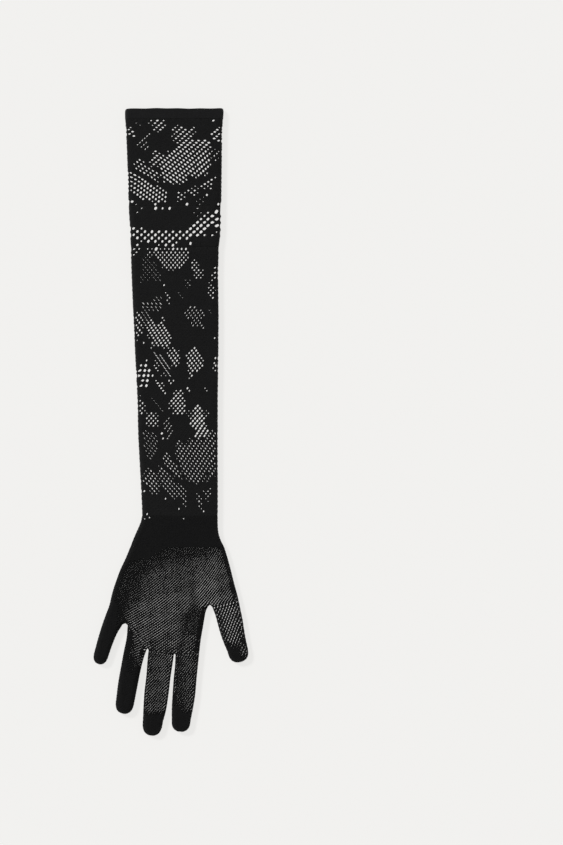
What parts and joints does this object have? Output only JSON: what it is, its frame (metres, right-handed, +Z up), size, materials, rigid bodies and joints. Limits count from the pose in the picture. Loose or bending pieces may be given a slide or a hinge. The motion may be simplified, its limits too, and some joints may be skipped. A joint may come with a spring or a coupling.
{
  "type": "long lace glove",
  "caption": "Black opera-length lace glove lying flat: dense hem, floral lace sleeve cut through in net windows, plain wrist band, fine net hand and closed fingers.",
  "frame": {"origin": "on the surface the glove lies on, under the middle of its outline", "axes": "+Y along the glove from the fingertips towards the mouth, +X towards the thumb side, +Z up, out of the surface it lies on"},
  "size_m": [0.1284, 0.52, 0.0076],
  "materials": {
    "top_hem": "matt black knitted welt",
    "lace_sleeve": "matt black floral lace",
    "wrist_band": "matt black plain knit",
    "hand": "matt black fine net",
    "thumb": "matt black fine net, dense at the tip",
    "index_finger": "matt black fine net, dense at the tip",
    "middle_finger": "matt black fine net, dense at the tip",
    "ring_finger": "matt black fine net, dense at the tip",
    "little_finger": "matt black fine net, dense at the tip"
  },
  "bodies": {
    "root": {"top_hem": "top_hem", "lace_sleeve": "lace_sleeve", "wrist_band": "wrist_band", "hand": "hand", "thumb": "thumb", "index_finger": "index_finger", "middle_finger": "middle_finger", "ring_finger": "ring_finger", "little_finger": "little_finger"}
  },
  "joints": []
}
